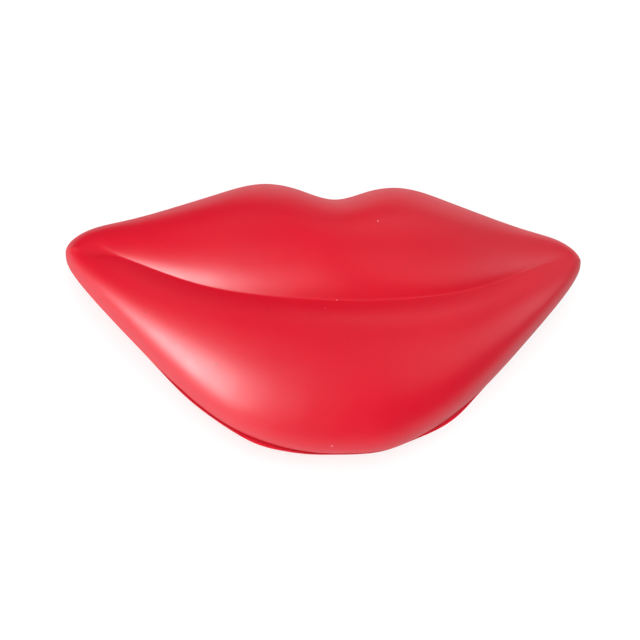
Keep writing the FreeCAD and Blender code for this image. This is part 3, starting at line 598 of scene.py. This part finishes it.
# ---------------------------------------------------------------------------
# plain numbers on the keys, read from below with the ear end up
# ---------------------------------------------------------------------------
for key, text in (("key_1", "1"), ("key_2", "2"), ("key_3", "3"), ("key_4", "4"), ("key_5", "5"), ("key_6", "6"),
                  ("key_7", "7"), ("key_8", "8"), ("key_9", "9"), ("key_0", "0"), ("key_star", "*"), ("key_hash", "#")):
    lo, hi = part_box(key)
    cu = bpy.data.curves.new("legend_" + key[4:], "FONT")
    cu.body = text
    cu.size = 0.0062
    cu.align_x, cu.align_y = "CENTER", "CENTER"
    cu.extrude = 0.00008
    cu.offset = 0.00008
    cu.resolution_u = 6
    tmp = bpy.data.objects.new("tmp_" + key, cu)
    scene.collection.objects.link(tmp)
    bpy.context.view_layer.update()
    me = bpy.data.meshes.new_from_object(tmp.evaluated_get(bpy.context.evaluated_depsgraph_get()))
    bpy.data.objects.remove(tmp)
    co = np.zeros(len(me.vertices) * 3)
    me.vertices.foreach_get("co", co)
    co = co.reshape(-1, 3)
    mid = (co.min(0) + co.max(0)) / 2
    co = co - mid
    key_ob = np.stack([(lo.x + hi.x) / 2 - co[:, 1], (lo.y + hi.y) / 2 - co[:, 0], lo.z - co[:, 2]], 1)
    polys = [tuple(p.vertices) for p in me.polygons]
    keep, faces = weld(key_ob, polys)
    bpy.data.meshes.remove(me)
    legend = new_object("legend_" + key[4:], keep, faces, smooth=False)
    paint(legend, INK)
    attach(legend, key)

# ---------------------------------------------------------------------------
# rubber mat behind the keys: a sheet with a hole over each key, and a dome in each hole
# ---------------------------------------------------------------------------
lo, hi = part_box("keypad_mat")
KEYS = [n for n in NODES if n.startswith("key_")]
CENTRE = {}
for key in KEYS:
    klo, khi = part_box(key)
    CENTRE[key] = ((klo.x + khi.x) / 2, (klo.y + khi.y) / 2)
cu = bpy.data.curves.new("tmp_mat", "CURVE")
cu.dimensions, cu.fill_mode, cu.extrude = "2D", "BOTH", 0.0005


def closed_line(pts):
    sp = cu.splines.new("POLY")
    sp.points.add(len(pts) - 1)
    for q, (x, y) in zip(sp.points, pts):
        q.co = (x, y, 0, 1)
    sp.use_cyclic_u = True


edge = []
for sx, sy, turn in ((1, 1, 0), (-1, 1, 90), (-1, -1, 180), (1, -1, 270)):
    for k in range(9):
        a = math.radians(turn + 90 * k / 8)
        edge.append(((lo.x + hi.x) / 2 + sx * ((hi.x - lo.x) / 2 - 0.005) + 0.005 * math.cos(a),
                     (lo.y + hi.y) / 2 + sy * ((hi.y - lo.y) / 2 - 0.005) + 0.005 * math.sin(a)))
closed_line(edge)
for x, y in CENTRE.values():
    closed_line([(x + 0.0034 * math.cos(math.radians(11.25 * k)), y + 0.0034 * math.sin(math.radians(11.25 * k))) for k in range(32)])
tmp = bpy.data.objects.new("tmp_mat", cu)
scene.collection.objects.link(tmp)
bpy.context.view_layer.update()
me = bpy.data.meshes.new_from_object(tmp.evaluated_get(bpy.context.evaluated_depsgraph_get()))
bpy.data.objects.remove(tmp)
co = np.zeros(len(me.vertices) * 3)
me.vertices.foreach_get("co", co)
co = co.reshape(-1, 3) + np.array([0, 0, hi.z - 0.0005])
keep, faces = weld(co, [tuple(p.vertices) for p in me.polygons])
bpy.data.meshes.remove(me)
sheet = new_object("mat_sheet", keep, faces, smooth=False)
outward(sheet)
paint(sheet, MATS["silicone_grey"])
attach(sheet, "case")
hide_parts("keypad_mat")
DOME = [(2.45, 7.23), (2.6, 7.28), (2.68, 7.4), (2.8, 7.7), (3.3, 8.35), (3.8, 8.95), (4.2, 9.42), (4.2, 9.5), (3.3, 9.5), (2.9, 9.1), (2.3, 8.5),
        (2.0, 8.25), (1.6, 8.2)]
for key in KEYS:
    x, y = CENTRE[key]
    pts, faces, K = [], [], 32
    for r, z in DOME:
        pts += [(x + r * MM * math.cos(2 * math.pi * k / K), y + r * MM * math.sin(2 * math.pi * k / K), z * MM) for k in range(K)]
    for row in range(len(DOME) - 1):
        faces += [(row * K + k, row * K + (k + 1) % K, (row + 1) * K + (k + 1) % K, (row + 1) * K + k) for k in range(K)]
    for row in (0, len(DOME) - 1):
        pts.append((x, y, DOME[row][1] * MM))
        faces += [(len(pts) - 1, row * K + (k + 1) % K, row * K + k) for k in range(K)]
    dome = new_object("mat_dome_" + key[4:], pts, faces)
    outward(dome)
    paint(dome, MATS["silicone_grey"])
    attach(dome, "case")
    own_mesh(dome)

# ---------------------------------------------------------------------------
# hook spring: closed end turns, and an open-coiled body between them
# ---------------------------------------------------------------------------
lo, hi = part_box("hook_spring")
plo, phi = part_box("hook_plunger")
hx, hy, wire, rad, K, TURNS = (plo.x + phi.x) / 2, (plo.y + phi.y) / 2, 0.35 * MM, 3.5 * MM, 12, 5
z0, z1 = lo.z + wire + 0.00002, hi.z - wire - 0.00002
flat = 2.06 * wire
path = []
for k in range(TURNS * 44 + 1):
    u = k / 44
    z = z0 + (flat * u if u < 1 else flat + (z1 - z0 - 2 * flat) * (u - 1) / (TURNS - 2) if u < TURNS - 1 else z1 - z0 - flat * (TURNS - u))
    path.append(Vector((hx + rad * math.cos(2 * math.pi * u), hy + rad * math.sin(2 * math.pi * u), z)))
pts, faces = [], []
for k, q in enumerate(path):
    along = (path[min(k + 1, len(path) - 1)] - path[max(k - 1, 0)]).normalized()
    out = Vector((q.x - hx, q.y - hy, 0)).normalized()
    up = along.cross(out).normalized()
    out = up.cross(along).normalized()
    pts += [q + (out * math.cos(2 * math.pi * j / K) + up * math.sin(2 * math.pi * j / K)) * wire for j in range(K)]
for k in range(len(path) - 1):
    faces += [(k * K + j, k * K + (j + 1) % K, (k + 1) * K + (j + 1) % K, (k + 1) * K + j) for j in range(K)]
faces += [tuple(range(K)), tuple((len(path) - 1) * K + j for j in range(K))]
spring = new_object("spring_coil", pts, faces)
outward(spring)
paint(spring, MATS["spring_steel"])
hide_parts("hook_spring")
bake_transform(spring)

# ---------------------------------------------------------------------------
# pale floor, soft studio light
# ---------------------------------------------------------------------------
floor = new_object("floor", [(-6, -6, -0.0001), (6, -6, -0.0001), (6, 6, -0.0001), (-6, 6, -0.0001)], [(0, 1, 2, 3)], smooth=False)
fm, fnt, fb, fco = start("floor_white")
fnt.links.new(ramp(fnt, noise(fnt, fco, 1.5), [(0.3, (0.245, 0.245, 0.245)), (0.7, (0.26, 0.26, 0.26))]), fb.inputs["Base Color"])
fnt.links.new(remap(fnt, noise(fnt, fco, 30.0), 0.55, 0.62), fb.inputs["Roughness"])
fb.inputs["Specular IOR Level"].default_value = 0.3
fb.inputs["Emission Color"].default_value = (1, 1, 1, 1)
far = fnt.nodes.new("ShaderNodeVectorMath")
far.operation = "LENGTH"
fnt.links.new(fco, far.inputs[0])
fnt.links.new(remap(fnt, far.outputs["Value"], 0.775, 1.0, 0.35, 1.5), fb.inputs["Emission Strength"])   # stays pale where the lamps no longer reach
paint(floor, fm)

AIM = Vector((0, -0.010, 0.030))


def lamp(name, az, el, dist, size, watts, diffuse=True, glossy=True):
    li = bpy.data.lights.new(name, "AREA")
    li.shape = "DISK"
    li.size = size
    li.energy = watts
    li.cycles.use_multiple_importance_sampling = False   # each lamp counts only for what it is meant to light
    ob = bpy.data.objects.new(name, li)
    scene.collection.objects.link(ob)
    a, e = math.radians(az), math.radians(el)
    ob.location = AIM + Vector((math.cos(a) * math.cos(e), math.sin(a) * math.cos(e), math.sin(e))) * dist
    ob.rotation_mode = "QUATERNION"
    ob.rotation_quaternion = (AIM - ob.location).to_track_quat("-Z", "Y")
    ob.visible_diffuse = diffuse
    ob.visible_glossy = glossy
    return ob


# broad lamps that only light the colour, and small ones that only give the sheen
for name, az, el, watts in (("top", 0, 90, 11.96), ("key", 225, 12, 8.95), ("rear", 90, 12, 2.47), ("left", 135, 60, 0.33)):
    lamp(name, az, el, 1.1, 0.9, watts, glossy=False)
for name, az, el, watts in (("sheen_key_low", 210, 12, 5.65), ("sheen_key_left", 210, 30, 3.75), ("sheen_key", 225, 20, 9.95),
                            ("sheen_key_high", 225, 38, 8.80), ("sheen_front_high", 240, 50, 1.12),
                            ("sheen_right", 0, 30, 1.90), ("sheen_right_rear", 30, 30, 0.70), ("sheen_right_high", 330, 50, 0.95),
                            ("sheen_rear_low", 60, 12, 0.92), ("sheen_rear_mid", 90, 12, 0.76), ("sheen_rear", 60, 50, 1.01),
                            ("sheen_left", 120, 50, 0.52), ("sheen_top_left", 180, 70, 0.55), ("sheen_top_right", 0, 70, 0.44)):
    lamp(name, az, el, 1.1, 0.52, watts, diffuse=False)

world = bpy.data.worlds.new("studio")
scene.world = world
world.use_nodes = True
wt = world.node_tree
wt.nodes.clear()
wo = wt.nodes.new("ShaderNodeOutputWorld")
dim, pale = wt.nodes.new("ShaderNodeBackground"), wt.nodes.new("ShaderNodeBackground")
dim.inputs["Color"].default_value, dim.inputs["Strength"].default_value = (1, 1, 1, 1), 0.003
pale.inputs["Color"].default_value, pale.inputs["Strength"].default_value = (1, 1, 1, 1), 1.0
lp, sw = wt.nodes.new("ShaderNodeLightPath"), wt.nodes.new("ShaderNodeMixShader")
wt.links.new(lp.outputs["Is Camera Ray"], sw.inputs["Fac"])
wt.links.new(dim.outputs["Background"], sw.inputs[1])
wt.links.new(pale.outputs["Background"], sw.inputs[2])
wt.links.new(sw.outputs["Shader"], wo.inputs["Surface"])
scene.view_settings.view_transform = "Standard"
